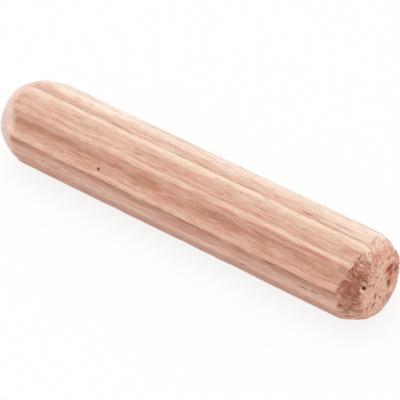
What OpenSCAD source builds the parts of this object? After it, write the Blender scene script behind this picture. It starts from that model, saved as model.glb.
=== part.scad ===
// Fluted wooden dowel pin. A round blank with a short tapered nose and a
// flat sawn face at each end, and straight hollow flutes along its whole
// length. The pressed ribs stand a few degrees uneven around the pin. It
// lies along X on its two lowest ribs, with its axis through the origin
// and its middle at X = 0. The rough end points along +X.

/* [Pin] */
// Diameter over the ribs
pin_d = 8.2; // [7:0.1:12]
// Length from sawn face to sawn face
pin_len = 39.4; // [25:0.1:80]

/* [Ends] */
// Length of the nose at the rough end
rough_nose_len = 2.1; // [1:0.1:3.5]
// Diameter of the sawn face at the rough end
rough_face_d = 5.9; // [3:0.1:6.4]
// Length of the nose at the smooth end
smooth_nose_len = 2.5; // [1:0.1:3.5]
// Diameter of the sawn face at the smooth end
smooth_face_d = 5.2; // [3:0.1:6.4]
// Radius of the slight outward curve along each nose
nose_curve_r = 7; // [6:0.5:20]

/* [Flutes] */
// Number of flutes around the pin
flute_count = 11; // [8:1:16]
// Width of the narrow rib that is left between two flutes
rib_w = 0.36; // [0.1:0.02:0.6]
// Depth of an average flute's floor below the straight line between its ribs
flute_hollow = 0.2; // [0.1:0.02:0.4]
// How much of the ribs' uneven spacing is kept, 0 for evenly spaced ribs
unevenness = 1; // [0:0.05:1]

/* [Hidden] */
$fn = 128;

pin_r = pin_d / 2;
half_len = pin_len / 2;

// One round bar, laid beside the pin, cuts every flute. Its radius gives a
// flute of average width the depth flute_hollow, so that a wide flute comes
// out deeper than a narrow one.
flute_pitch = 360 / flute_count;
rib_angle = rib_w / pin_r * 180 / PI;
mean_half_w = pin_r * sin((flute_pitch - rib_angle) / 2);
bar_r = (mean_half_w ^ 2 + flute_hollow ^ 2) / (2 * flute_hollow);

// How far each rib stands from even spacing, in degrees. The first rib is
// the one after the lowest flute, and the last is the one before it. Those
// two carry the pin, and keep their places.
rib_shifts = [0, 1.5, 3.5, 8, 12, 7.5, 6.7, 12.3, 6.3, 3.1, 0];

// The bars run past both faces, so that no skin is left at the ends.
bar_overrun = 1;

// Angle of a rib, counted from the middle of the lowest flute
function rib_at(i) =
    (i + 0.5) * flute_pitch + unevenness * rib_shifts[i % len(rib_shifts)];

// Angle of the rib before flute i, where flute 0 is the lowest
function flute_start(i) =
    i == 0 ? rib_at(flute_count - 1) - 360 : rib_at(i - 1);

// One half of the blank's outline: X is the radius, Y runs along the pin.
// The nose is an arc of nose_curve_r from the edge of the sawn face to the
// end of the ribs. slant is the straight line between those two points,
// and reach is how far the arc's centre lies behind the line's middle.
module half_outline(nose_len, face_d) {
    taper = pin_r - face_d / 2;
    slant = sqrt(nose_len ^ 2 + taper ^ 2);
    reach = sqrt(nose_curve_r ^ 2 - slant ^ 2 / 4);
    square([pin_r, half_len - nose_len]);
    intersection() {
        square([pin_r, half_len]);
        translate([
            pin_r - taper / 2 - reach * nose_len / slant,
            half_len - nose_len / 2 - reach * taper / slant
        ])
            circle(r = nose_curve_r);
    }
}

// The round blank with its two noses, the rough end up
module blank() {
    rotate_extrude() {
        half_outline(rough_nose_len, rough_face_d);
        mirror([0, 1])
            half_outline(smooth_nose_len, smooth_face_d);
    }
}

// The bar for the flute between two ribs, which stand at the given angles.
// sag is how deep the bar reaches below the straight line between them.
module flute_bar(start, end) {
    half_angle = (end - start - rib_angle) / 2;
    sag = bar_r - sqrt(bar_r ^ 2 - (pin_r * sin(half_angle)) ^ 2);
    rotate((start + end) / 2)
        translate([pin_r * cos(half_angle) - sag + bar_r, 0, 0])
            cylinder(r = bar_r, h = pin_len + 2 * bar_overrun, center = true);
}

// The whole pin, laid along X with one flute straight down
module dowel_pin() {
    color([0.84, 0.69, 0.60])
        rotate([0, 90, 0])
            difference() {
                blank();
                for (i = [0 : flute_count - 1])
                    flute_bar(flute_start(i), rib_at(i));
            }
}

dowel_pin();
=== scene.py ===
# %% [markdown]
# # A fluted beech dowel pin
#
# This lesson dresses one small wooden pin, about 40 mm long and 8 mm thick.
# Cabinet makers glue such pins into matching holes to line up two boards.
# The construction is already made and is loaded as a fixed frame. What is
# left for Blender is what the eye reads as wood: hollow flutes with crisp
# ribs, one smooth nose, one torn and splintered nose, grain, pores and
# colour. All of it is made by rules in this file, so it can be read and
# changed.

# %% Load the frame
import math

import bpy
import numpy as np
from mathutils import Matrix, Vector


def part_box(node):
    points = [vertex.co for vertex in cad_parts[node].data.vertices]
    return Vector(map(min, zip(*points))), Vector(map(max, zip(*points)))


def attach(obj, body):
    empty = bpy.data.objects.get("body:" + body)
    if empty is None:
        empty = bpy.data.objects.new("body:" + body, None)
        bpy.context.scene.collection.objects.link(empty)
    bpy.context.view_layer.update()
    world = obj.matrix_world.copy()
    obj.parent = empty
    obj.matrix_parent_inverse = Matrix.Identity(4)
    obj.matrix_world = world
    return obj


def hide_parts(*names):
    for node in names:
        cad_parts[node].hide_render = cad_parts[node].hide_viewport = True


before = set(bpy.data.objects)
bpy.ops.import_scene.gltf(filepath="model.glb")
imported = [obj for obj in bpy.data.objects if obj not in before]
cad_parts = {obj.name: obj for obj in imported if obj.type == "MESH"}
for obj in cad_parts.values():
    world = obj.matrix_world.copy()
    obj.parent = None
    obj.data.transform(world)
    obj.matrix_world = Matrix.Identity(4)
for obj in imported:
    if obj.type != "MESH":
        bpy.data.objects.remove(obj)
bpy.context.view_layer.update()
MM = 0.001
print("nodes in the frame:", sorted(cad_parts))

# %% [markdown]
# ## The pin's sizes
#
# The frame gives the overall sizes, so they are measured and not typed
# again. Only two sizes that a box can't give are typed: the radius over the
# ribs, and that of the curve on the noses. The pin lies along X with its
# rough end towards +X, its axis on the X axis, and +Z up. Everything below
# is worked out in millimetres, because a maker thinks of this pin as 8 by
# 40, and turned into metres only when the mesh is made.

# %% Measure the pin
low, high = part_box("dowel_pin")
half_len = high.x / MM
RIB_R = 4.1
NOSE_CURVE = 7.0
print(f"length {2 * half_len:.2f} mm, height {(high.z - low.z) / MM:.2f} mm")

# %% [markdown]
# ## Where the ribs are
#
# A grooving roller pressed the flutes, and left a narrow rib between each
# two. On a real pin they are a few degrees uneven, because the roller wears
# and the wood springs back. The angles here run around the axis from
# straight up towards the side that faces the viewer. A list of small shifts
# from even spacing keeps the evenness of the design and the unevenness of
# the wood apart. The two ribs that the pin lies on keep their places.

# %% Rib angles
RIB_COUNT = 11
RIB_WIDTH = 0.36
FLUTE_HOLLOW = 0.2
rib_shift = np.array([7.5, 6.7, 12.3, 6.3, 3.1, 0.0, 0.0, 1.5, 3.5, 8.0, 12.0])
rib_angle = np.radians(np.arange(RIB_COUNT) * 360 / RIB_COUNT + rib_shift)
next_rib = np.append(rib_angle[1:], rib_angle[0] + math.tau)
print("ribs at", np.round(np.degrees(rib_angle), 1), "degrees")

# %% [markdown]
# ## The shape of one flute
#
# In section each flute is a shallow round hollow, as if a round bar had
# been laid beside the pin and pressed in. One bar radius serves every
# flute, so a wide flute comes out deeper than a narrow one. The outline
# could be drawn point by point, but a formula that gives the radius at any
# angle is shorter, and it lets the same code place the points densely at
# the ribs and sparsely on the floors. A soft minimum rounds the rib's
# two edges, as the pressing does.

# %% Radius of the fluted section
rib_half = RIB_WIDTH / RIB_R / 2
even_half_w = RIB_R * math.sin(math.pi / RIB_COUNT - rib_half)
bar_r = (even_half_w**2 + FLUTE_HOLLOW**2) / (2 * FLUTE_HOLLOW)
RIB_ROUNDING = 0.09


def soft_min(a, b, blend):
    """The smaller of a and b, with the corner between them rounded over."""
    share = np.clip(0.5 + 0.5 * (b - a) / blend, 0, 1)
    return b * (1 - share) + a * share - blend * share * (1 - share)


def flute_of(angle):
    """The flute that each angle falls in, and the angle turned to lie in it."""
    turned = (angle - rib_angle[0]) % math.tau + rib_angle[0]
    flute = np.clip(np.searchsorted(rib_angle, turned, "right") - 1, 0, RIB_COUNT - 1)
    return flute, turned


def fluted_radius(angle):
    """Distance from the axis to the fluted surface, for an array of angles."""
    flute, turned = flute_of(angle)
    start, end = rib_angle[flute], next_rib[flute]
    half = (end - start) / 2 - rib_half
    sag = bar_r - np.sqrt(bar_r**2 - (RIB_R * np.sin(half)) ** 2)
    bar_axis = RIB_R * np.cos(half) - sag + bar_r
    off = turned - (start + end) / 2
    reach = np.maximum(bar_r**2 - (bar_axis * np.sin(off)) ** 2, 0)
    hollow = bar_axis * np.cos(off) - np.sqrt(reach)
    return soft_min(np.full_like(hollow, RIB_R), hollow, RIB_ROUNDING)


print(f"pressing bar radius {bar_r:.2f} mm")

# %% [markdown]
# ## Spreading values around the pin
#
# Wear, colour and tearing all differ from one side of the pin to the other.
# A value could be typed for every point, or worked out by a formula that
# nobody could adjust. Here a small helper takes a few angles with a value
# each, and joins them all the way round. The points themselves are crowded
# towards the ribs, where the surface turns sharply.

# %% Values around the pin
def from_turns(angle, turns):
    """Values given at a few angles in degrees, joined all the way round."""
    degrees, values = zip(*sorted(turns.items()))
    return np.interp(angle, np.radians(degrees), values, period=math.tau)


POINTS_PER_FLUTE = 40
CROWDING = 0.35
share = np.arange(POINTS_PER_FLUTE) / POINTS_PER_FLUTE
share = share - CROWDING * np.sin(math.tau * share) / math.tau
around = np.concatenate([a + (b - a) * share for a, b in zip(rib_angle, next_rib)])
print(len(around), "points around, closest together at the ribs")

# %% [markdown]
# ## Stations along the pin
#
# The skin is a grid: rings of points at stations along the axis, closed by
# the two sawn faces. The rings stand close together where there is much to
# show, on the torn nose, and far apart on the straight body, where nothing
# but long grain runs through. Each nose is a slightly rounded taper from
# the end of the ribs to the rim of the sawn face, and it starts a little
# earlier or later at each rib, because the cutter doesn't run quite true.

# %% Nose profiles and stations
rough_nose = {-50: 2.4, -20: 2.3, 10: 2.15, 70: 2.1, 130: 2.3, 200: 2.2, 260: 2.3}
rough_rim = {
    -60: 3.0, 10: 2.95, 70: 3.0, 100: 3.05, 130: 3.1, 160: 2.95, 200: 3.08, 225: 3.12, 245: 2.95, 270: 2.8,
}
smooth_nose = {-50: 3.0, -20: 2.9, 7: 2.2, 39: 2.2, 78: 2.45, 104: 2.6, 165: 2.5, 230: 2.6, 270: 2.8}
smooth_rim = {
    -80: 2.5, -50: 2.45, -20: 2.55, 10: 2.64, 70: 2.64, 100: 2.68, 130: 2.62, 180: 2.55, 240: 2.5,
}
BODY_SLOPE = 0.35
ROUGH_STEP = 0.045
SMOOTH_STEP = 0.1


def nose_arc(to_face, nose_len, face_r):
    """Radius of a nose's curve at a distance from the sawn face."""
    taper = RIB_R - face_r
    slant = np.hypot(nose_len, taper)
    reach = np.sqrt(NOSE_CURVE**2 - slant**2 / 4)
    centre_r = RIB_R - taper / 2 - reach * nose_len / slant
    centre_in = nose_len / 2 + reach * taper / slant
    return centre_r + np.sqrt(np.maximum(NOSE_CURVE**2 - (to_face - centre_in) ** 2, 0))


def nose_radius(x, angle):
    """Radius of the two noses at each x, well clear of the ribs on the body."""
    limit = np.full(np.broadcast(x, angle).shape, 2 * RIB_R)
    for sign, lengths, rims in ((1, rough_nose, rough_rim), (-1, smooth_nose, smooth_rim)):
        nose_len, face_r = from_turns(angle, lengths), from_turns(angle, rims)
        to_face = half_len - sign * x
        cap = nose_arc(np.minimum(to_face, nose_len), nose_len, face_r)
        clear = RIB_R + BODY_SLOPE * (to_face - nose_len)
        limit = np.minimum(limit, np.where(to_face > nose_len, clear, cap))
    return limit


rough_end = half_len - np.arange(0, 60) * ROUGH_STEP
smooth_end = np.arange(0, 32) * SMOOTH_STEP - half_len
body = np.linspace(smooth_end[-1], rough_end[-1], 74)[1:-1]
stations = np.concatenate([smooth_end, body, rough_end[::-1]])
print(len(stations), "stations, closest together on the rough nose")

# %% [markdown]
# ## Noise that follows the wood
#
# Wood is never even, but its unevenness has a direction: fibres run along
# the pin, so everything is drawn out along X. Blender's own noise textures
# could shift the points through a modifier. Here two small functions do it,
# because the same values are also needed as masks for colour. The first is
# soft lattice noise. The second finds the nearest of many scattered seeds,
# which breaks a surface into flakes with sharp steps between them. Both
# mix whole numbers into fixed pseudo-random ones, so every run is alike.

# %% Noise helpers
def scramble(cell, seed):
    """A fixed pseudo-random value from 0 to 1 for each row of whole numbers."""
    c = cell.astype(np.int64)
    mixed = c[..., 0] * 73856093 ^ c[..., 1] * 19349663 ^ c[..., 2] * 83492791
    mixed = (mixed ^ seed * 2654435761) & 0xFFFFFFFF
    for shift, factor in ((16, 0x45D9F3B), (15, 0x2C1B3C6D), (16, 0x297A2D39)):
        mixed = ((mixed ^ (mixed >> shift)) * factor) & 0xFFFFFFFF
    return mixed / 0xFFFFFFFF


CORNERS = np.array([(i, j, k) for i in (0, 1) for j in (0, 1) for k in (0, 1)])
NEIGHBOURS = np.array([(i, j, k) for i in (-1, 0, 1) for j in (-1, 0, 1) for k in (-1, 0, 1)])


def soft_noise(points, size, seed):
    """Smooth noise from -1 to 1, with lumps of the given size along x, y and z."""
    scaled = points / np.asarray(size, float)
    cell = np.floor(scaled)
    part = scaled - cell
    blend = part**3 * (part * (part * 6 - 15) + 10)
    total = np.zeros(points.shape[:-1])
    for corner in CORNERS:
        weight = np.prod(np.where(corner, blend, 1 - blend), axis=-1)
        total += weight * scramble(cell + corner, seed)
    return 2 * total - 1


def flake_noise(points, size, seed):
    """For each point: its flake's random value, place within it, and gap to the next."""
    scaled = points / np.asarray(size, float)
    cell = np.floor(scaled)
    first = np.full(points.shape[:-1], 9.0)
    second = first.copy()
    value = np.zeros_like(first)
    offset = np.zeros_like(points)
    for step in NEIGHBOURS:
        near = cell + step
        jitter = np.stack([scramble(near, seed + n) for n in range(3)], -1)
        away = scaled - near - jitter
        dist = np.sqrt((away**2).sum(-1))
        closer = dist < first
        second = np.where(closer, first, np.minimum(second, dist))
        value = np.where(closer, scramble(near, seed + 7), value)
        offset = np.where(closer[..., None], away, offset)
        first = np.where(closer, dist, first)
    return value, offset, second - first


def step_up(value, start, end):
    """Rises smoothly from 0 at start to 1 at end, or falls if end is the smaller."""
    t = np.clip((value - start) / (end - start), 0, 1)
    return t * t * (3 - 2 * t)


test_points = np.stack([np.linspace(0, 9, 50)] * 3, -1)
print("lowest of 50 noise values:", soft_noise(test_points, (1, 1, 1), 3).min().round(2))

# %% [markdown]
# ## The plain skin, before wear
#
# First the grid is laid over the clean shape: fluted section, cut down by
# the noses, closed by the faces. The ribs wander by up to a degree along
# the pin, as pressed wood does. Each point also gets the direction in which
# wear will move it, straight out of the surface.

# %% Lay the grid
FACE_RINGS_ROUGH = 38
FACE_RINGS_SMOOTH = 12
RIB_WANDER = np.radians(1.0)
NOSE_ROUNDING = 0.05


def place(x, r, angle):
    """Points in millimetres from distance along, radius and angle around."""
    return np.stack([x, -r * np.sin(angle), r * np.cos(angle)], -1)


grid_x = np.repeat(stations[:, None], len(around), axis=1)
grid_turn = np.broadcast_to(around[None], grid_x.shape)
wobble = soft_noise(place(grid_x, 3.0, grid_turn), (6, 2, 2), 11)
wandered = fluted_radius(grid_turn + RIB_WANDER * wobble)
grid_r = soft_min(wandered, nose_radius(grid_x, grid_turn), NOSE_ROUNDING)

toward_rim = np.arange(1, FACE_RINGS_SMOOTH) / FACE_RINGS_SMOOTH
toward_middle = 1 - np.arange(1, FACE_RINGS_ROUGH) / FACE_RINGS_ROUGH
grid_r = np.concatenate([toward_rim[:, None] * grid_r[:1], grid_r, toward_middle[:, None] * grid_r[-1:]])
grid_x = np.pad(grid_x, ((len(toward_rim), len(toward_middle)), (0, 0)), "edge")
rings, points = grid_x.shape
first_body, last_body = len(toward_rim), rings - len(toward_middle) - 1
grid_turn = np.broadcast_to(around[None], grid_x.shape)
section = fluted_radius(grid_turn)
slope_x = np.gradient(grid_x, axis=0)
slope_r = np.gradient(grid_r, axis=0)
length = np.hypot(slope_x, slope_r)
out_x, out_r = -slope_r / length, slope_x / length
plain = place(grid_x, grid_r, grid_turn)
print(f"grid of {rings} rings by {points} points")

# %% [markdown]
# ## Masks: which part of the skin is which
#
# Several later steps ask the same questions of a point: is it on a sawn
# face, how far is it from the nearest rib, and on which side of that rib.
# The answers are worked out once, as numbers from 0 to 1 or in millimetres.

# %% Faces and ribs
depth_in = 1 - grid_r / grid_r[last_body]
on_rough_face = step_up(depth_in, 0.015, 0.06) * (grid_x > half_len - 0.01)
on_smooth_face = (grid_x < -half_len + 0.01) * 1.0
on_side = step_up(out_r, 0.2, 0.8)
flute, turned = flute_of(grid_turn)
past_rib = (turned - rib_angle[flute]) * RIB_R
before_rib = (next_rib[flute] - turned) * RIB_R
to_rib = np.minimum(past_rib, before_rib)
print(f"widest flute is {2 * to_rib.max():.2f} mm across")

# %% [markdown]
# ## Wear and grain on the body
#
# A pressed beech surface is nearly smooth. What shows is fine raised grain
# along the pin, a slow waviness from the roller, and ribs that are a
# little bruised. These are real movements of the points, a few hundredths
# of a millimetre, so that light catches them from any side.

# %% Grain relief
def wood_noise(length, width, seed):
    """Noise on the clean skin, in lumps of a length along the pin and a width across it, in mm."""
    return soft_noise(plain, (length, width, width), seed)


WAVE_HEIGHT = 0.022
GRAIN_HEIGHT = 0.010
FINE_GRAIN_HEIGHT = 0.008
BRUISE_DEPTH = 0.035
waviness = WAVE_HEIGHT * wood_noise(6, 1.6, 21)
raised_grain = GRAIN_HEIGHT * wood_noise(5, 0.22, 22)
raised_grain += FINE_GRAIN_HEIGHT * wood_noise(2.2, 0.14, 23)
bruises = -BRUISE_DEPTH * step_up(to_rib, 0.4, 0.1) * step_up(wood_noise(1.3, 1.5, 24), 0.2, 0.8)
relief = on_side * (waviness + raised_grain + bruises)
print(f"body relief from {relief.min():.3f} to {relief.max():.3f} mm")

# %% [markdown]
# ## Where the rough nose is torn
#
# The rough end was tapered by a blunt cutter, which tore the fibres off
# instead of slicing them. The torn skin starts at a jagged line near the
# end of the ribs. The line is given at a few angles around the pin, since
# it follows the wood and not the cutter, and noise makes it ragged.

# %% Where the tearing starts
tear_line = {
    -50: 1.5, -30: 1.7, -9: 1.6, 6: 1.02, 21: 1.62, 37: 1.5, 52: 1.75, 58: 1.8, 63: 2.15, 74: 2.2,
    80: 1.8, 86: 1.75, 91: 2.0, 96: 2.0, 102: 1.7, 117: 1.5, 140: 1.9, 175: 1.5, 215: 2.0, 250: 1.6, 285: 2.1,
}
tear_from = from_turns(grid_turn, tear_line)
tear_from = tear_from + 0.10 * wood_noise(9, 0.45, 31)
tear_from = tear_from + 0.12 * wood_noise(9, 0.17, 32)
torn = step_up(grid_x - (half_len - tear_from), 0.0, 0.09)
print(f"tearing starts {tear_from.min():.2f} to {tear_from.max():.2f} mm from the face")

# %% [markdown]
# ## Flakes of torn fibre
#
# Each torn fibre bundle ends in a narrow flake that points down the taper,
# towards the sawn face. Sculpting them would work too, but each one would
# have to be placed by hand. Here the flake noise is laid on the unrolled
# nose, stretched down the taper. Each flake is raised or sunk by its own
# random value, rounded across, and split from the next by a crevice. Two
# sizes on top of each other keep the pattern from looking like tiles.

# %% Tear the rough nose
NOSE_MEAN_R = 3.5
DRIFT = 0.3
BIG_FLAKE = (0.85, 0.33, 1)
SMALL_FLAKE = (0.45, 0.17, 1)
CREVICE_DEPTH = 0.03
half_turn = (grid_turn + math.pi) % math.tau - math.pi
along = np.cumsum(np.hypot(slope_x, slope_r), axis=0)
along = along - along[last_body]
unrolled = np.stack([along, NOSE_MEAN_R * half_turn - DRIFT * along, np.zeros_like(grid_x)], -1)
big_value, big_place, big_gap = flake_noise(unrolled, BIG_FLAKE, 41)
small_value, small_place, small_gap = flake_noise(unrolled, SMALL_FLAKE, 45)
crevice = np.maximum(step_up(big_gap, 0.16, 0.02), 0.5 * step_up(small_gap, 0.12, 0.02))
flakes = 0.13 * (big_value - 0.55) - 0.10 * big_place[..., 0] * big_value - 0.12 * big_place[..., 1] ** 2
flakes += 0.09 * (small_value - 0.5) - 0.05 * small_place[..., 0]
fibres = 0.02 * soft_noise(unrolled, (0.4, 0.08, 1), 47)
roughness_around = {
    -60: 0.8, -25: 0.9, 5: 1.1, 22: 1.5, 50: 1.4, 62: 0.5, 80: 0.5, 95: 0.6, 110: 0.4, 200: 0.3,
    240: 0.5, 270: 0.8,
}
roughness = from_turns(grid_turn, roughness_around)
torn_depth = 0.02 + 0.07 * step_up(nose_radius(grid_x, grid_turn) - section, -0.05, 0.12)
ragged_rim = step_up(along + 0.15 * wood_noise(0.5, 0.5, 48), 0.45, 0.0)
tear = torn * ragged_rim * (roughness * (flakes + fibres - CREVICE_DEPTH * crevice) - torn_depth)
print(f"torn relief from {tear.min():.3f} to {tear.max():.3f} mm")

# %% [markdown]
# ## The sawn faces
#
# A saw leaves beech end grain pale, slightly furry and dotted with pores.
# The face is kept nearly flat, because it is what the pin stands on in the
# bottom of its hole, and it only ever moves inwards. A few larger holes and
# splits are listed one by one, by their distance across and up from the axis.

# %% Pit the sawn faces
PORE_DEPTH = 0.14
HOLE_DEPTH = 0.16
fuzz = 0.030 * soft_noise(plain, (9, 0.45, 0.3), 51) + 0.018 * soft_noise(plain, (9, 0.2, 0.14), 52)
pore_value, pore_place, _ = flake_noise(plain, (2, 0.3, 0.3), 53)
pore_dist = np.sqrt((pore_place[..., 1:] ** 2).sum(-1))
pores = -PORE_DEPTH * step_up(pore_value, 0.55, 0.9) * step_up(pore_dist, 0.32, 0.12)
face_holes = [
    (-1.85, 1.39, 0.12, 0.10), (-1.27, 0.95, 0.12, 0.10), (-0.78, 1.51, 0.08, 0.08),
    (-0.96, -0.57, 0.08, 0.24), (-1.11, -1.40, 0.22, 0.08), (1.15, -0.55, 0.13, 0.38),
    (1.15, 1.2, 0.35, 0.14), (1.4, 0.5, 0.14, 0.3), (2.2, 0.4, 0.12, 0.22), (-2.2, -1.0, 0.2, 0.07),
    (0.9, 2.5, 0.07, 0.16), (-0.2, -1.2, 0.12, 0.07),
]
holes = np.zeros_like(grid_x)
for across, up, half_w, half_h in face_holes:
    reach = np.hypot((plain[..., 1] - across) / half_w, (plain[..., 2] - up) / half_h)
    holes = np.maximum(holes, step_up(reach + 0.25 * wood_noise(1, 0.12, 54), 1.3, 0.5))
sawn = (on_rough_face + on_smooth_face) * (np.minimum(fuzz, 0) + pores - 0.01)
sawn = sawn - HOLE_DEPTH * holes * on_rough_face
print(f"sawn relief from {sawn.min():.3f} to {sawn.max():.3f} mm")

# %% [markdown]
# ## A few deep nicks
#
# Where a knot of fibres came away as a whole, a small deep pit is left. The
# largest shows as a dark hole at the rim of the sawn face. They could be
# cut with small solids, but that would break the even grid, so the points
# near each middle are pushed in instead. Each nick is given by its place
# along the pin, its angle and its size.

# %% Nicks in the rough nose
NICK_DEPTH = 0.22
MEAN_NOSE = (2.1, 3.0)
nicks = [(19.53, 58.5, 0.15), (18.0, 54, 0.12), (18.15, 48, 0.1), (17.95, 94, 0.1), (18.3, 51.5, 0.1)]
pit = np.zeros_like(grid_x)
for at_x, turn, size in nicks:
    middle = place(at_x, nose_arc(half_len - at_x, *MEAN_NOSE), math.radians(turn))
    away = np.sqrt(((plain - middle) ** 2).sum(-1))
    pit = np.maximum(pit, step_up(away, 1.4 * size, 0.4 * size))
print("points in the nicks:", int((pit > 0.5).sum()))

# %% [markdown]
# ## Moving the points
#
# Now every point is moved once, by the sum of all its movements, straight
# out of the surface or into it. A stack of modifiers could do the same one
# after another, but one sum is easier to follow and easier to hold in
# bounds. Nothing may stand out past the construction's own box, because a
# pin has to slide into its hole.

# %% Move the points
shift = relief * (1 - torn) + tear + sawn - NICK_DEPTH * pit
moved_x = np.clip(grid_x + out_x * shift, -half_len, half_len)
moved_r = np.clip(grid_r + out_r * shift, 0.005, RIB_R)
skin = np.clip(place(moved_x, moved_r, grid_turn), np.array(low) / MM, np.array(high) / MM)
centre_points = np.array([[-half_len, 0, 0], [half_len, 0, 0]])
print("skin box", skin.reshape(-1, 3).min(0).round(3), skin.reshape(-1, 3).max(0).round(3))

# %% [markdown]
# ## From points to a closed mesh
#
# Neighbouring rings are joined by four-sided faces, and each sawn face is
# closed by a fan around its middle point, so the pin is one closed solid.

# %% Build the mesh
here = np.arange(points)
after = (here + 1) % points
ring = np.arange(rings - 1)[:, None] * points
quads = np.stack([ring + here, ring + after, ring + points + after, ring + points + here], -1).reshape(-1, 4)
start_centre, end_centre = rings * points, rings * points + 1
last = (rings - 1) * points
start_fan = np.stack([np.full(points, start_centre), after, here], -1)
end_fan = np.stack([np.full(points, end_centre), last + here, last + after], -1)
vertices = np.concatenate([skin.reshape(-1, 3), centre_points]) * MM
mesh = bpy.data.meshes.new("beech_pin")
mesh.from_pydata(vertices.tolist(), [], quads.tolist() + start_fan.tolist() + end_fan.tolist())
mesh.shade_smooth()
beech_pin = bpy.data.objects.new("beech_pin", mesh)
bpy.context.scene.collection.objects.link(beech_pin)
triangles = sum(len(p.vertices) - 2 for p in mesh.polygons)
print(f"{len(mesh.vertices)} points, {triangles} triangles")

# %% [markdown]
# ## A flat map of the skin
#
# When the pin leaves Blender its colours are painted onto a flat sheet, and
# the skin has to be laid out flat for that. Blender can cut a shape up
# by itself, but it would leave many small scraps. A round bar has a natural
# layout, like a tin with its label peeled off: one sheet for the body, one
# strip for the torn nose, drawn larger because it is full of small flakes,
# and a disc for each sawn face. Each sheet is turned so that it reads the
# right way round from outside.

# %% Lay the skin flat
EDGE = 0.005
WIDTH = 1 - 2 * EDGE
SHEET_HEIGHT = 0.575
STRIP_LOW = 0.3
STRIP_HEIGHT = 0.11
DISC_SCALE = 0.14 / 3.2
DISC_HEIGHT = 0.145
BACK_DISC = 0.15
FRONT_DISC = 0.45
first_nose = last_body - len(rough_end) + 1
way = along.mean(axis=1)
turn_share = (np.append(around, around[0] + math.tau) - around[0]) / math.tau


def disc(first, last, middle, sign):
    """Rings of a sawn face on the flat map, as they are seen from outside."""
    face = np.concatenate([plain[first:last + 1], plain[first:last + 1, :1]], axis=1)
    across = middle + sign * face[..., 1] * DISC_SCALE
    return np.stack([across, DISC_HEIGHT + face[..., 2] * DISC_SCALE], -1)


def shares(first, last):
    """How far each ring lies along its sheet, and each point around it, from 0 to 1."""
    length_share = (way[first:last + 1] - way[first]) / (way[last] - way[first])
    return np.broadcast_arrays(length_share[:, None], turn_share[None])


back_disc = disc(0, first_body, BACK_DISC, -1)
front_disc = disc(last_body, rings - 1, FRONT_DISC, 1)
length_share, round_share = shares(first_body, first_nose)
body_sheet = np.stack([EDGE + WIDTH * length_share, 1 - EDGE - SHEET_HEIGHT * round_share], -1)
length_share, round_share = shares(first_nose, last_body)
nose_strip = np.stack([EDGE + WIDTH * round_share, STRIP_LOW + STRIP_HEIGHT * length_share], -1)
print(f"{nose_strip.shape[0]} rings of the torn nose get a strip of their own")

# %% [markdown]
# ## The flat map, corner by corner
#
# Blender keeps the flat map per corner of each face, not per point, because
# one point may lie on the edge of two sheets. So each sheet's corners are
# listed in the same order as the faces were made.

# %% Store the flat map
corners = []
for chart in (back_disc, body_sheet, nose_strip, front_disc):
    four = np.stack([chart[:-1, :-1], chart[:-1, 1:], chart[1:, 1:], chart[1:, :-1]], axis=2)
    corners.append(four.ravel())
back_rim, front_rim = back_disc[0], front_disc[-1]
back_middle = np.broadcast_to((BACK_DISC, DISC_HEIGHT), back_rim[1:].shape)
front_middle = np.broadcast_to((FRONT_DISC, DISC_HEIGHT), front_rim[1:].shape)
corners.append(np.stack([back_middle, back_rim[1:], back_rim[:-1]], axis=1).ravel())
corners.append(np.stack([front_middle, front_rim[:-1], front_rim[1:]], axis=1).ravel())
layout = mesh.uv_layers.new(name="OFBake")
layout.data.foreach_set("uv", np.concatenate(corners).astype(np.float32))
print(f"{len(layout.data)} corners laid flat")

# %% [markdown]
# ## Masks for the material
#
# A material can read values that are stored on the mesh's points. That is
# how the relief and the colour stay in step: the same flake that stands
# proud also gets a lit tone, and a pit gets painted shade.

# %% Store values on the mesh
def carry(name, values):
    """Stores one value from 0 to 1 per point on the mesh, for the material to read."""
    layer = mesh.attributes.new(name, "FLOAT", "POINT")
    values = np.clip(values, 0, 1)
    flat = np.concatenate([values.ravel(), [values[0].mean(), values[-1].mean()]])
    layer.data.foreach_set("value", flat.astype(np.float32))


carry("torn", torn)
print(f"torn skin covers {(torn > 0.5).mean():.0%} of the points")

# %% [markdown]
# ## Pale ribs with painted highlight, and painted shade beside them
#
# The roller crushes the fibres on top of a rib, and crushed beech looks
# paler. The pale band is also a painted highlight: it is strongest on the
# rib that faces the lamp and lies towards each rib's lit side. A thin brown
# line beside the rib is painted shade, where the surface turns away from
# the light, with some darker wood in it. Both could be painted on by hand,
# but the distance to the nearest rib is already known for every point, so a
# band at a chosen distance is enough. Real ribs differ, so each rib has its
# own strength and its own side, listed in order of angle, the first at 7.5
# degrees.

# %% Rib tones
pale_parts = np.array([1.0, 0.38, 0.15, 0.35, 0.4, 0.4, 0.5, 0.6, 0.5, 0.6, 0.4])
pale_side = np.array([-0.09, -0.2, -0.3, -0.3, -0.1, 0.1, 0.1, 0.1, 0.1, 0.1, 0.0])
line_parts = np.array([0.55, 0.25, 1.0, 0.5, 0.3, 0.4, 0.3, 0.5, 0.7, 0.4, 0.2])
line_side = np.array([-0.39, -0.50, 0.03, 0.14, 0.1, 0.1, -0.4, 0.1, -0.4, 0.1, 0.1])
nearest = np.where(past_rib < before_rib, flute, (flute + 1) % RIB_COUNT)
beside = np.where(past_rib < before_rib, past_rib, -before_rib)
beside = beside + 0.05 * wood_noise(2.5, 2, 60)
uneven = 0.9 + grid_x / 120 + 0.28 * wood_noise(4, 1.2, 61)
on_body = (1 - torn) * on_side
off_pale = beside - pale_side[nearest]
# The pale band on each rib: paler crushed fibre, and a painted highlight on its lit side.
pale_rib_highlight = step_up(off_pale, -0.26, -0.14) * step_up(off_pale, 0.46, 0.12) * pale_parts[nearest]
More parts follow.
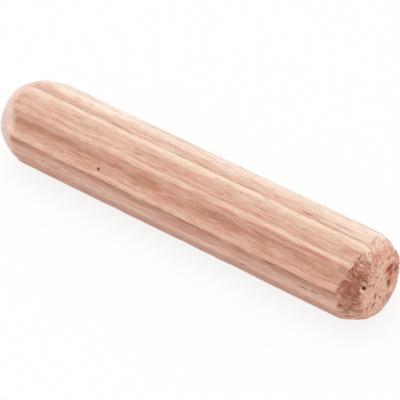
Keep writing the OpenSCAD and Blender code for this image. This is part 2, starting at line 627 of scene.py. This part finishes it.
# The brown line beside each rib: painted shade, with some darker wood.
rib_shade_line = step_up(np.abs(beside - line_side[nearest]), 0.14, 0.03) * line_parts[nearest]
carry("pale_rib_highlight", pale_rib_highlight * uneven * on_body)
carry("rib_shade_line", rib_shade_line * (0.85 + 0.6 * wood_noise(3, 1, 62)) * on_body)
print(f"strongest line beside the rib at {np.degrees(rib_angle[line_parts.argmax()]):.0f} degrees")

# %% [markdown]
# ## Where the tone breaks on the rough end
#
# On the torn nose each flake has a tone of its own, and the cracks between
# flakes get painted shade. The sawn face is a third kind of surface. Its
# edge could be a clean circle, but a torn nose meets a sawn face in crumbs,
# so the edge is made ragged with two sizes of noise.

# %% Torn and sawn tones
to_face = along + 0.14 * wood_noise(0.5, 0.3, 63)
to_face = to_face + 0.1 * wood_noise(0.2, 0.12, 64)
carry("sawn", np.maximum(step_up(to_face, -0.2, 0.05), on_smooth_face))
crumbs = wood_noise(0.3, 0.12, 65)
# The flake value follows each flake's height, so the tones it picks paint raised flakes lit and sunk ones
# shaded.
carry("flake", 0.55 * big_value + 0.45 * small_value + 0.12 * crumbs)
# Painted shade for the cracks between flakes, the pits of the sawn faces and the nicks.
carry("crevice", 0.7 * crevice * torn * ragged_rim + step_up(-sawn, 0.03, 0.2) + 1.5 * pit)
print("masks stored:", [a.name for a in mesh.attributes if a.data_type == "FLOAT"])

# %% [markdown]
# ## Bands of early and late wood, with painted light and shade
#
# The pin was cut along a board's growth rings. Each ring shows on it as a
# stripe that runs from end to end: pale where the wood grew in spring,
# browner where it grew in late summer. The stripes could be cut from a
# solid of rings, but on so thin a pin they hardly curve, so a tone for each
# angle around the pin is enough. The same tone per angle also carries
# painted light: a painted highlight along the upper back, and painted shade
# past one rib and on the underside. It wanders a little along the pin. A
# rosy tint, strongest on the underside, is the painted colour of shade
# there, and comes and goes in the same way.

# %% Bands of grain
wander = 1.2 * wood_noise(7, 1.5, 71) + 1.2 * wood_noise(3, 0.6, 72)
wandering = grid_turn + np.radians(wander)
# Below zero along the upper back is a painted highlight. The dark band just past the rib at 78 degrees and
# the underside past 105 degrees are partly painted shade.
late_and_shading_around = {
    -60: -0.2, -32: -0.12, -22: -0.03, -16: 0.14, -10: 0.35, 0: 0.5, 10: 0.36, 16: 0.48, 23: 0.62, 33: 0.64,
    41: 0.63, 46: 0.44, 49: 0.66, 52: 0.86, 62: 0.88, 67: 0.7, 76: 0.6, 79: 1.1, 85: 0.9, 91: 0.5,
    98: 0.42, 103: 0.75, 107: 1.08, 112: 0.94, 132: 0.94, 150: 0.6, 185: 0.45, 205: 0.7, 235: 0.55, 260: 0.35,
    285: 0.5, 300: 0.2,
}
late_wood_and_shading = from_turns(wandering, late_and_shading_around)
unsteady = 0.12 * wood_noise(5, 0.6, 73) + 0.08 * wood_noise(2.5, 0.3, 74)
late_wood_and_shading = late_wood_and_shading + (0.4 + 0.6 * step_up(late_wood_and_shading, 0.1, 0.5)) * unsteady
carry("late_wood_and_shading", late_wood_and_shading)
# Painted shade colour: a rosy tint that is strongest on the underside.
rosy_shade_around = {
    40: 0.0, 62: 0.1, 82: 0.2, 90: 0.4, 97: 0.55, 107: 0.85, 135: 0.9, 170: 0.4, 230: 0.3, 290: 0.0,
}
carry("rosy_shade", from_turns(wandering, rosy_shade_around))
print("late wood from", late_wood_and_shading.min().round(2), "to", late_wood_and_shading.max().round(2))

# %% [markdown]
# ## A browned nose and a polished one
#
# The torn nose is browned, least on top and most on the side towards the
# viewer, and pale again near the rim of the sawn face. The other nose was
# cut by a sharp tool, which left it smooth, pale and nearly polished. Part
# of its paleness is painted light: the polish reaches further round its
# shaded lower side and whitens towards the tip. These are not one colour
# each, so they get lists around the pin as well, and a ragged edge where
# the polish begins.

# %% Browned and polished ends
brown_around = {
    -45: 0.0, 8: 0.05, 20: 0.3, 30: 0.24, 37: 0.6, 45: 0.8, 53: 0.6, 61: 0.95, 74: 1.0, 79: 0.62,
    86: 0.6, 91: 0.72, 97: 0.8, 102: 0.6, 113: 0.42, 130: 0.5, 180: 0.6, 230: 0.5, 280: 0.3,
}
fade_around = {-40: -0.4, 40: -0.35, 50: -0.4, 58: -0.85, 68: -0.7, 80: -0.35, 90: 0.05, 125: 0.1, 200: -0.2}
fade = from_turns(grid_turn, fade_around)
to_rim = along + 0.2 * wood_noise(0.3, 0.3, 78)
browning = from_turns(grid_turn, brown_around) * step_up(to_rim, fade + 0.55, fade)
browning = browning + 0.2 * wood_noise(0.5, 0.35, 75)
carry("browning", browning)
pinkness = step_up(to_face + 0.3 * wood_noise(0.6, 0.6, 77), -1.1, -0.3)
carry("pink", pinkness * step_up(browning, 0.6, 0.2))
polished_from = {
    -50: 1.9, -8: 1.7, 5: 1.6, 16: 1.1, 34: 1.0, 44: 1.5, 50: 1.85, 70: 1.9, 84: 2.1, 95: 2.2,
    130: 2.1, 200: 1.8, 280: 1.9,
}
to_smooth_face = grid_x + half_len + 0.12 * wood_noise(9, 0.3, 76)
# The polish reaches further round the lower side, partly as painted light over its shade.
carry("polish_and_glow", step_up(to_smooth_face - from_turns(grid_turn, polished_from), 0.5, -0.15))
# Painted light: the smooth nose whitens towards its tip.
carry("tip_glow_and_polish", step_up(to_smooth_face, 1.3, 0.2))
print(f"the polish reaches {max(polished_from.values())} mm from the smooth face")

# %% [markdown]
# ## A few words for nodes
#
# A node material is a sentence about light: this colour here, rougher
# there. Building it by mouse is pleasant, but a script keeps every number
# in sight. These helpers add a node, fill its sockets with numbers or
# links, and hand back its result, so that each step of the finish below
# reads as one line.

# %% Node helpers
beech = bpy.data.materials.new("beech")
beech.use_nodes = True
tree = beech.node_tree
shader = tree.nodes["Principled BSDF"]


def fill(made, sockets):
    """Fills a node's sockets, each with a value or a link."""
    for name, value in sockets.items():
        if isinstance(value, bpy.types.NodeSocket):
            tree.links.new(value, made.inputs[name])
        else:
            made.inputs[name].default_value = value


def node(kind, sockets, output=0, **settings):
    """Adds a node, fills its sockets and gives one output."""
    made = tree.nodes.new("ShaderNode" + kind)
    for name, value in settings.items():
        setattr(made, name, value)
    fill(made, sockets)
    return made.outputs[output]


def calc(operation, *values):
    """Arithmetic on one, two or three numbers."""
    return node("Math", dict(enumerate(values)), operation=operation)


def ease(value, start, end, low_out=0.0, high_out=1.0):
    """Turns start into low_out and end into high_out, smoothly."""
    sockets = {"Value": value, "From Min": start, "From Max": end, "To Min": low_out, "To Max": high_out}
    return node("MapRange", sockets, interpolation_type="SMOOTHSTEP")


def mix(amount, under, over, mode="MIX"):
    """Lays one colour over another, by an amount from 0 to 1."""
    return node("Mix", {0: amount, 6: under, 7: over}, output=2, data_type="RGBA", blend_type=mode)


def ramp(value, tones):
    """A colour that changes with a value, through the given tones."""
    made = node("ValToRGB", {0: value})
    stops = made.node.color_ramp.elements
    for place_on, colour in tones.items():
        stop = stops[0] if place_on == 0 else stops[-1] if place_on == 1 else stops.new(place_on)
        stop.color = colour
    return made


def mask(name):
    """A value that is stored on the mesh's points."""
    return node("Attribute", {}, output=2, attribute_name=name)


def tone(red, green, blue):
    """A paint-chip colour, 0 to 255 a channel, as Blender's linear colour."""
    srgb = np.array([red, green, blue]) / 255
    linear = np.where(srgb <= 0.04045, srgb / 12.92, ((srgb + 0.055) / 1.055) ** 2.4)
    return (*linear.tolist(), 1.0)


in_mm = node("VectorMath", {0: node("TexCoord", {}, output=3), 1: (1 / MM,) * 3}, operation="MULTIPLY")
print("the wood is measured in millimetres inside the material too")

# %% [markdown]
# ## Grain that is drawn out along the pin
#
# All wood detail is long along the fibre and narrow across it. So the
# position is squeezed along X before it goes into a noise or a cell
# texture. The position is that of the solid wood, not of the surface, so
# the grain runs on through the ends and into the flutes, as it does when a
# pin is cut from a board. Perfectly straight lines would look combed, so
# the position is first bent sideways a little, slowly along the pin.

# %% Grain textures
bend_at = node("VectorMath", {0: in_mm, 1: (0.15, 0.5, 0.5)}, operation="MULTIPLY")
bend = node("TexNoise", {"Vector": bend_at, "Scale": 1.0, "Detail": 2.0}, output=1)
bend = node("VectorMath", {0: bend, 1: (0.5,) * 3}, operation="SUBTRACT")
grain_mm = node("VectorMath", {0: bend, 1: (0, 0.55, 0.55), 2: in_mm}, operation="MULTIPLY_ADD")


def stretched(length, width, seed):
    """The position in the wood, scaled so that one unit is length by width mm."""
    scale = (1 / length, 1 / width, 1 / width)
    shift = (seed * 1.7, seed * 3.1, seed * 2.3)
    return node("VectorMath", {0: grain_mm, 1: scale, 2: shift}, operation="MULTIPLY_ADD")


def streaks(length, width, seed, detail=2.0):
    """Soft streaks along the grain, from about 0.2 to 0.8."""
    return node("TexNoise", {"Vector": stretched(length, width, seed), "Scale": 1.0, "Detail": detail})


def dashes(length, width, seed, radius, share):
    """Short dark vessel lines: ellipsoids on a share of the cells of a cell texture."""
    sockets = {"Vector": stretched(length, width, seed), "Scale": 1.0, "Randomness": 1.0}
    distance = node("TexVoronoi", sockets, output=0)
    colour = distance.node.outputs[1]
    chosen = ease(node("SeparateColor", {0: colour}), 1 - share, 1 - share + 0.1)
    return calc("MULTIPLY", ease(distance, radius, radius * 0.4), chosen)


broad = streaks(9, 0.8, 1)
medium = streaks(4, 0.3, 2)
fine = streaks(1.8, 0.1, 3, detail=3.0)
mottle = streaks(0.9, 0.2, 8, detail=3.0)
long_vessels = dashes(4.0, 0.3, 4, 0.18, 0.45)
short_vessels = dashes(1.4, 0.2, 5, 0.2, 0.7)
rays = dashes(1.1, 0.5, 6, 0.2, 0.4)
print("four sizes of streak, two of vessel line, one of ray fleck")

# %% [markdown]
# ## The colours of the body
#
# Beech is a warm, pinkish tan. Over the growth stripes lie the pale ribs,
# the brown lines at their feet, the polish of the smooth nose, and last the
# fibres, vessels and ray flecks. A sheet of wood wrapped around the pin
# would be quicker, but it would show a seam and take no notice of the ribs.
# Thin coats laid over one another, as a painter glazes, keep each cause
# apart. Each coat is a place, a strength and a colour.

# %% Wood colours
# The palest tone is spring wood and, along the upper back, a painted highlight.
SPRING_AND_EDGE_HIGHLIGHT = tone(249, 237, 229)
PALE = tone(247, 219, 196)
LATE = tone(204, 145, 118)
BROWN = tone(152, 92, 68)
DARK = tone(96, 56, 38)
# The warm brown of painted shade, for cracks, pits, vessels and pores.
SHADE_BROWN = tone(152, 92, 66)
# ROSY is the painted colour of shade on the underside.
ROSY = tone(212, 160, 146)
ORANGE = tone(212, 122, 88)
CREAM = tone(249, 228, 212)

tone_now = calc("ADD", mask("late_wood_and_shading"), ease(broad, 0.3, 0.7, -0.07, 0.07))
tone_now = calc("ADD", tone_now, ease(medium, 0.35, 0.65, -0.08, 0.08))
stripe_tones = {
    0: SPRING_AND_EDGE_HIGHLIGHT, 0.12: tone(242, 218, 202), 0.25: tone(232, 201, 181), 0.5: tone(219, 178, 156),
    0.68: tone(209, 161, 138), 0.86: LATE, 1: tone(186, 131, 107),
}
body_tone = ramp(tone_now, stripe_tones)
# The polish tone, whitening towards the tip: partly painted light.
polish_glow_tone = mix(mask("tip_glow_and_polish"), tone(239, 204, 187), tone(239, 217, 211))
# Among these coats the rosy tint is painted shade colour, the pale rib band is partly a painted highlight,
# the brown rib line is partly painted shade, and the polish is partly painted light.
coats = [
    (mask("rosy_shade"), 0.7, ROSY), (mask("pale_rib_highlight"), 0.9, PALE), (mask("rib_shade_line"), 0.6, BROWN),
    (mask("polish_and_glow"), 0.9, polish_glow_tone), (ease(fine, 0.5, 0.7), 0.27, BROWN),
    (ease(fine, 0.5, 0.32), 0.25, CREAM), (long_vessels, 0.45, BROWN), (short_vessels, 0.65, BROWN),
    (rays, 0.18, BROWN), (ease(mottle, 0.52, 0.66), 0.2, LATE), (ease(mottle, 0.46, 0.32), 0.16, CREAM),
]
for where, strength, colour in coats:
    body_tone = mix(calc("MULTIPLY", where, strength), body_tone, colour)
print("growth stripes in", len(stripe_tones), "tones, then", len(coats), "thin coats")

# %% [markdown]
# ## The colours of torn and sawn wood
#
# Torn fibre looks paler at its tips and duller in its hollows than pressed
# wood, and here that difference is painted light: raised flakes get a lit
# ramp and sunk ones a shaded ramp, a painted highlight and painted shade on
# top of the real relief. The flake value from the mesh picks between the two
# ramps, so the tone breaks exactly where the relief does. The sawn face is
# end grain, pale and evenly speckled. Cracks, pits and nicks get painted
# shade, by multiplying with a warm brown. Mixing in a dark tone would be
# simpler, but it turns wood grey, and shade on beech is brown.

# %% Torn fibre colours
speckle = node("TexNoise", {"Vector": in_mm, "Scale": 5.0, "Detail": 2.0})
browned = mask("browning")
pale_lit_tones = {
    0: tone(252, 226, 204), 0.4: tone(247, 202, 176), 0.7: tone(222, 162, 134), 1: tone(192, 130, 105),
}
flake_pale_lit = ramp(browned, pale_lit_tones)
dull_shaded_tones = {
    0: tone(249, 212, 190), 0.4: tone(205, 150, 126), 0.7: tone(182, 123, 99), 1: tone(166, 104, 82),
}
flake_dull_shaded = ramp(browned, dull_shaded_tones)
# Raised flakes take the lit ramp and sunk ones the shaded ramp: painted highlight and painted shade.
torn_tone = mix(ease(mask("flake"), 0.4, 0.6), flake_dull_shaded, flake_pale_lit)
# This pink is lighter than the wood's own tone near the rim: it is partly painted light.
torn_tone = mix(calc("MULTIPLY", mask("pink"), 0.5), torn_tone, tone(248, 182, 158))
torn_tone = mix(calc("MULTIPLY", ease(speckle, 0.52, 0.7), 0.22), torn_tone, BROWN)
lumps = node("TexNoise", {"Vector": in_mm, "Scale": 2.2, "Detail": 3.0})
face_tone = mix(ease(lumps, 0.35, 0.62), tone(251, 205, 178), tone(234, 176, 148))
face_tone = mix(calc("MULTIPLY", ease(speckle, 0.52, 0.66), 0.35), face_tone, tone(204, 140, 112))
# Painted light: the smooth sawn face whitens with its nose's tip.
face_tone = mix(calc("MULTIPLY", mask("tip_glow_and_polish"), 0.5), face_tone, tone(238, 212, 200))
wood_tone = mix(mask("torn"), body_tone, torn_tone)
wood_tone = mix(mask("sawn"), wood_tone, face_tone)
# Painted shade in the cracks, pits and nicks.
wood_tone = mix(calc("MULTIPLY", mask("crevice"), 0.6), wood_tone, SHADE_BROWN, "MULTIPLY")
print("torn wood in", len(pale_lit_tones) + len(dull_shaded_tones), "tones, from clean to browned")

# %% [markdown]
# ## Marks placed one by one
#
# Some marks are too particular for a rule: a tiny dark hole in one flute,
# a few long open vessels, orange streaks along one rib, a dark red stain on
# the sawn face. Painting them on a flat sheet would tie them to one layout.
# Here each mark is a soft ellipsoid inside the solid wood, with a middle, a
# size and a strength, and it is placed by where it sits on the skin. A
# little noise in the position makes its edge ragged, like a real stain.

# %% Tools for marks
ragged = node("TexNoise", {"Vector": in_mm, "Scale": 6.0}, output=1)
ragged = node("VectorMath", {0: ragged, 1: (0.5,) * 3}, operation="SUBTRACT")
ragged_mm = node("VectorMath", {0: ragged, 1: (0.2,) * 3, 2: in_mm}, operation="MULTIPLY_ADD")


def on_skin(x, turn, sink=0.0):
    """A point on the clean skin, or sunk below it, in mm, at a place along and an angle around."""
    angle = np.radians(turn)
    radius = np.minimum(fluted_radius(angle), nose_radius(x, angle)) - sink
    return place(x, float(radius), angle)


def on_sides(rows):
    """Marks on the skin, from rows of place along, angle, length, width and strength."""
    return [(on_skin(x, turn), (length, width, width), strength) for x, turn, length, width, strength in rows]


def on_face(rows):
    """Marks on the rough sawn face, from rows of across, up, size in three directions and strength."""
    return [(np.array([half_len, *row[:2]]), row[2:5], row[5]) for row in rows]


def marks(spots):
    """The union of soft marks, each with a middle, a size in three directions and a strength."""
    total = 0.0
    for middle, size, strength in spots:
        half_size = np.array(size) / 2
        sockets = {0: ragged_mm, 1: (1 / half_size).tolist(), 2: (-middle / half_size).tolist()}
        offset = node("VectorMath", sockets, operation="MULTIPLY_ADD")
        reach = node("VectorMath", {0: offset}, output=1, operation="LENGTH")
        total = calc("MAXIMUM", total, ease(reach, 1.2, 0.4, 0.0, strength))
    return total


print("the top of the pin half-way along is at", on_skin(0.0, 0).round(2), "mm")

# %% [markdown]
# ## Streaks and stains
#
# Minerals and old damp colour beech in long soft patches: brown ones along
# the flutes, orange ones beside one rib, and a dark red one that shows on
# the sawn face. They tint the wood and hide little of it, so each colour is
# mixed in by a part only, with the widest and faintest marks among them.

# %% Streaks and stains
RED = tone(176, 56, 40)
pale_marks = on_sides([(-16.4, 16, 5.0, 2.4, 0.17)])
brown_marks = on_sides([
    (-16.2, 54, 4.5, 0.8, 0.14), (-3.2, 57, 4.0, 0.7, 0.26), (5.2, 56, 7.0, 0.7, 0.26),
    (9.2, 57, 2.0, 0.35, 0.3), (-11, 50, 5.0, 0.14, 0.35), (12.5, 51, 9.0, 0.14, 0.35),
    (-16.6, 82, 3.0, 0.5, 0.3), (-8.8, 1, 3.0, 0.2, 0.35), (1.8, -3, 3.4, 0.14, 0.3),
    (12.5, -1, 6.0, 0.14, 0.3), (18.25, 28, 0.5, 1.1, 0.45), (19.35, 47, 0.6, 1.3, 0.4),
    (19.3, 112, 0.9, 1.8, 0.35), (18.0, 68, 1.3, 1.2, 0.35), (17.6, 46, 1.6, 0.9, 0.4),
    (17.0, 0, 1.6, 0.4, 0.2), (17.3, 27, 2.6, 1.8, 0.12), (18.85, 78, 0.7, 0.6, 0.35),
]) + on_face([
    (1.1, -2.2, 0.8, 2.2, 1.1, 0.35), (1.15, -0.5, 0.8, 0.9, 1.5, 0.55),
    (1.3, 0.2, 0.8, 0.9, 1.4, 0.25),
])
orange_marks = on_sides([
    (14.8, 42.5, 4.6, 0.46, 0.65), (5.4, 42, 3.4, 0.42, 0.6), (0.0, 42, 1.8, 0.36, 0.6),
    (-6.0, 42.5, 4.0, 0.24, 0.5), (9.5, 42.5, 5.0, 0.34, 0.45), (-2.4, 60, 1.5, 0.5, 0.25),
    (-14.2, 84, 1.6, 0.4, 0.4), (17.3, 42, 1.6, 0.3, 0.5), (2.5, 84, 4.0, 0.4, 0.25),
    (-4.5, 84, 3.0, 0.4, 0.25), (5.0, 42.5, 26.0, 0.26, 0.3), (0.0, 45, 44.0, 0.9, 0.24),
    (0.0, 96, 44.0, 2.0, 0.08), (19.35, -30, 0.8, 2.4, 0.3),
]) + on_face([
    (1.6, 0.1, 0.8, 2.0, 3.0, 0.45), (0.6, 1.5, 0.8, 1.4, 1.2, 0.3),
])
red_marks = on_sides([
    (19.25, 4, 0.8, 1.2, 0.35), (-8.7, 0, 1.6, 0.3, 0.25), (1.0, -1, 1.6, 0.24, 0.2),
    (12.0, -3, 2.4, 0.24, 0.2), (19.2, -12, 0.5, 0.5, 0.2), (18.7, 41, 0.8, 0.5, 0.2),
]) + on_face([
    (1.2, 1.15, 1.0, 1.7, 0.85, 0.8), (1.4, 0.55, 1.0, 1.0, 1.3, 0.55),
    (2.25, 0.3, 1.0, 0.75, 1.1, 0.75), (1.3, -0.3, 1.0, 0.9, 1.2, 0.25),
])
tints = ((pale_marks, CREAM), (brown_marks, BROWN), (orange_marks, ORANGE), (red_marks, RED))
for spots, colour in tints:
    wood_tone = mix(marks(spots), wood_tone, colour)
print("streaks and stains placed by hand:", sum(len(spots) for spots, _ in tints))

# %% [markdown]
# ## Open vessels, pores and holes
#
# A vessel that was cut open lengthwise is a fine dark groove, and one that
# was cut across is a pore in the sawn face. The largest marks are holes.
# What is dark here is painted shade, so these marks are multiplied in, the
# holes last and in the darkest tone.

# %% Vessels, pores and holes
vessel_marks = on_sides([
    (14.2, 93.5, 1.3, 0.17, 0.9), (15.3, 92.5, 1.3, 0.14, 0.9), (-2.2, 29.5, 1.9, 0.14, 0.6),
    (11.9, -4.5, 1.6, 0.18, 0.6), (8.3, -8.5, 0.9, 0.15, 0.6), (15.0, -9, 2.4, 0.12, 0.5),
    (8.0, 20.5, 2.2, 0.12, 0.55), (8.2, 30, 1.3, 0.12, 0.5), (-4.9, 24.5, 0.9, 0.14, 0.6),
    (-10.4, 26.5, 1.6, 0.12, 0.45), (10.6, 79, 1.2, 0.14, 0.5), (-16.4, 83, 1.0, 0.14, 0.4),
    (1.9, 79.5, 2.0, 0.12, 0.4), (8.0, 103, 0.4, 0.3, 0.7), (-15.0, 34, 0.6, 0.12, 0.4),
    (-7.0, 19.5, 2.0, 0.1, 0.35), (4.3, 27, 2.4, 0.1, 0.35), (16.7, 22, 0.8, 0.12, 0.4),
    (11.8, -2.5, 0.8, 0.14, 0.4), (9.5, 103, 0.8, 0.12, 0.3),
])
pore_marks = on_face([
    (-1.85, 1.39, 0.5, 0.4, 0.42, 0.9), (-1.27, 0.95, 0.5, 0.44, 0.42, 0.85),
    (-0.78, 1.51, 0.5, 0.34, 0.36, 0.85), (-0.96, -0.57, 0.5, 0.4, 0.8, 0.8),
    (-1.11, -1.4, 0.5, 0.7, 0.4, 0.8), (1.15, -0.55, 0.5, 0.5, 1.0, 0.6),
    (0.9, 2.5, 0.5, 0.3, 0.36, 0.4), (-0.2, -1.2, 0.5, 0.4, 0.34, 0.6),
    (-2.2, -1.0, 0.5, 0.6, 0.26, 0.6), (-0.9, -2.0, 0.5, 0.26, 0.6, 0.5),
])
rim_hole = (on_skin(19.53, 58.5, 0.15), (0.44, 0.5, 0.5), 1.0)
hole_marks = [rim_hole] + on_sides([
    (-7.94, 67, 0.42, 0.3, 1.0), (18.25, 51.5, 0.7, 0.16, 0.6), (18.95, 31, 0.3, 0.18, 0.5),
    (18.0, 94, 0.5, 0.24, 0.5), (19.0, -22, 0.3, 0.16, 0.5), (18.75, 12, 0.5, 0.1, 0.45),
    (19.1, 21, 0.6, 0.12, 0.45), (18.3, 23, 0.4, 0.2, 0.35),
]) + on_face([
    (1.05, 1.12, 0.5, 0.5, 0.3, 0.4),
])
# Painted shade in vessels and pores, and darker painted shade in the holes.
wood_tone = mix(marks(vessel_marks + pore_marks), wood_tone, SHADE_BROWN, "MULTIPLY")
wood_tone = mix(marks(hole_marks), wood_tone, DARK, "MULTIPLY")
print("dark marks and lines placed by hand:", len(vessel_marks + pore_marks + hole_marks))

# %% [markdown]
# ## Roughness and the finest relief
#
# This wood has no varnish. It is dull all over, a little less so along the
# pressed fibres, and its fuzz catches a faint light at the edges. The mesh
# already carries the relief that can be seen as shape. A bump is left to
# do only what is finer than the grid: single fibres, a few hundredths of a
# millimetre high. Then the finished piece is tied to the frame: it rides
# the pin's only body and stands in for the plain solid.

# %% Roughness and bump
height = calc("ADD", calc("MULTIPLY", fine, 0.6), calc("MULTIPLY", long_vessels, -0.5))
bump = node("Bump", {"Height": height, "Strength": 0.35, "Distance": 0.04 * MM})
fill(shader, {"Base Color": wood_tone, "Roughness": ease(fine, 0.3, 0.7, 0.52, 0.72), "Normal": bump})
fill(shader, {"Specular IOR Level": 0.3, "Sheen Weight": 0.1, "Sheen Roughness": 0.4})
mesh.materials.append(beech)
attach(beech_pin, "root")
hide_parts("dowel_pin")
print("material nodes:", len(tree.nodes))

# %% [markdown]
# ## A sheet of white paper
#
# The pin lies on a wide white floor that runs out of sight. A strong lamp
# would burn such a floor out to white, but the pin along with it. So the
# lamps are set for the wood, and the paper is partly made to glow by
# itself, only where it is looked at directly or seen in a gloss. The rest
# of it stays ordinary matt paper, which keeps the pin's soft shadow. The
# node helpers work on whatever is called tree, so the paper's nodes take
# that name now, and the world's take it after them.

# %% Floor
WHITE = (1, 1, 1, 1)
GLOW_SHARE = 0.85


def looked_at():
    """1 for what meets the eye directly or in a gloss, and 0 for light on its way elsewhere."""
    direct = node("LightPath", {}, output="Is Camera Ray")
    return calc("MAXIMUM", direct, direct.node.outputs["Is Glossy Ray"])


floor_z = low.z
bpy.ops.mesh.primitive_plane_add(size=4, location=(0, 0, floor_z))
floor = bpy.context.object
floor.name = "floor"
paper = bpy.data.materials.new("paper")
paper.use_nodes = True
tree = paper.node_tree
matt = tree.nodes["Principled BSDF"]
fill(matt, {"Base Color": (0.9, 0.9, 0.9, 1), "Roughness": 0.9, "Specular IOR Level": 0.0})
glow = node("Emission", {"Color": WHITE, "Strength": 1.0})
glow_part = calc("MULTIPLY", looked_at(), GLOW_SHARE)
surface = node("MixShader", {0: glow_part, 1: matt.outputs[0], 2: glow})
fill(tree.nodes["Material Output"], {"Surface": surface})
floor.data.materials.append(paper)
print(f"floor at {floor_z / MM:.2f} mm, right under the ribs that the pin lies on")

# %% [markdown]
# ## Soft light from all around
#
# Small pale things are often lit inside a tent of white cloth, so that
# round forms turn gently from light to dark. Here the world is the tent.
# Alone it would make the flutes look flat, so one large square lamp above
# gives each rib a bright side and each torn flake a small shadow. The
# world's own colour is plain white where the camera looks past the floor.

# %% Lights
world = bpy.data.worlds.new("studio")
bpy.context.scene.world = world
world.use_nodes = True
tree = world.node_tree
room = tree.nodes["Background"]
fill(room, {"Color": WHITE, "Strength": 0.68})
backdrop = node("Background", {"Color": WHITE, "Strength": 1.0})
surface = node("MixShader", {0: looked_at(), 1: room.outputs[0], 2: backdrop})
fill(tree.nodes["World Output"], {"Surface": surface})
lamp = bpy.data.lights.new("overhead", "AREA")
lamp.size = 0.4
lamp.energy = 1.25
overhead = bpy.data.objects.new("overhead", lamp)
overhead.location = (-0.05, -0.05, 0.5)
overhead.rotation_euler = (-overhead.location).to_track_quat("-Z", "Y").to_euler()
bpy.context.scene.collection.objects.link(overhead)
print(f"lamp {overhead.location.length:.2f} m away, {lamp.size:.1f} m wide")

# %% [markdown]
# ## The camera
#
# The pin runs from the upper left, far away, to the lower right, with the
# torn end nearest. A turn around the pin, a height above the floor and a
# distance are easier to think about than x, y and z, so the camera's place
# is worked out from those three. A long lens keeps the pin's two sides
# almost parallel, and two small shifts centre the pin in the view.

# %% Camera
VIEW_TURN = math.radians(35.94)
VIEW_HEIGHT = math.radians(41.67)
VIEW_DISTANCE = 0.27
SHIFT_RIGHT = 0.000485
SHIFT_DOWN = 0.000394
towards = Vector((
    math.sin(VIEW_TURN) * math.cos(VIEW_HEIGHT),
    -math.cos(VIEW_TURN) * math.cos(VIEW_HEIGHT),
    math.sin(VIEW_HEIGHT),
))
camera_data = bpy.data.cameras.new("camera")
camera = bpy.data.objects.new("camera", camera_data)
bpy.context.scene.collection.objects.link(camera)
camera.rotation_euler = towards.to_track_quat("Z", "Y").to_euler()
facing = camera.rotation_euler.to_matrix()
right, up = facing.col[0], facing.col[1]
camera.location = towards * VIEW_DISTANCE + right * SHIFT_RIGHT - up * SHIFT_DOWN
camera_data.sensor_width = 36
camera_data.lens = 276.4
camera_data.clip_start = 0.01
bpy.context.scene.camera = camera
print("camera at", [round(c / MM) for c in camera.location], "mm")

# %% [markdown]
# ## The view transform
#
# Whatever is done to a surface, the part must still fit where it belongs,
# so the moved points were held inside the construction's box. Last, the
# view transform is set to Standard, so that colours show as they are written.

# %% Set the view transform
bpy.context.scene.view_settings.view_transform = "Standard"
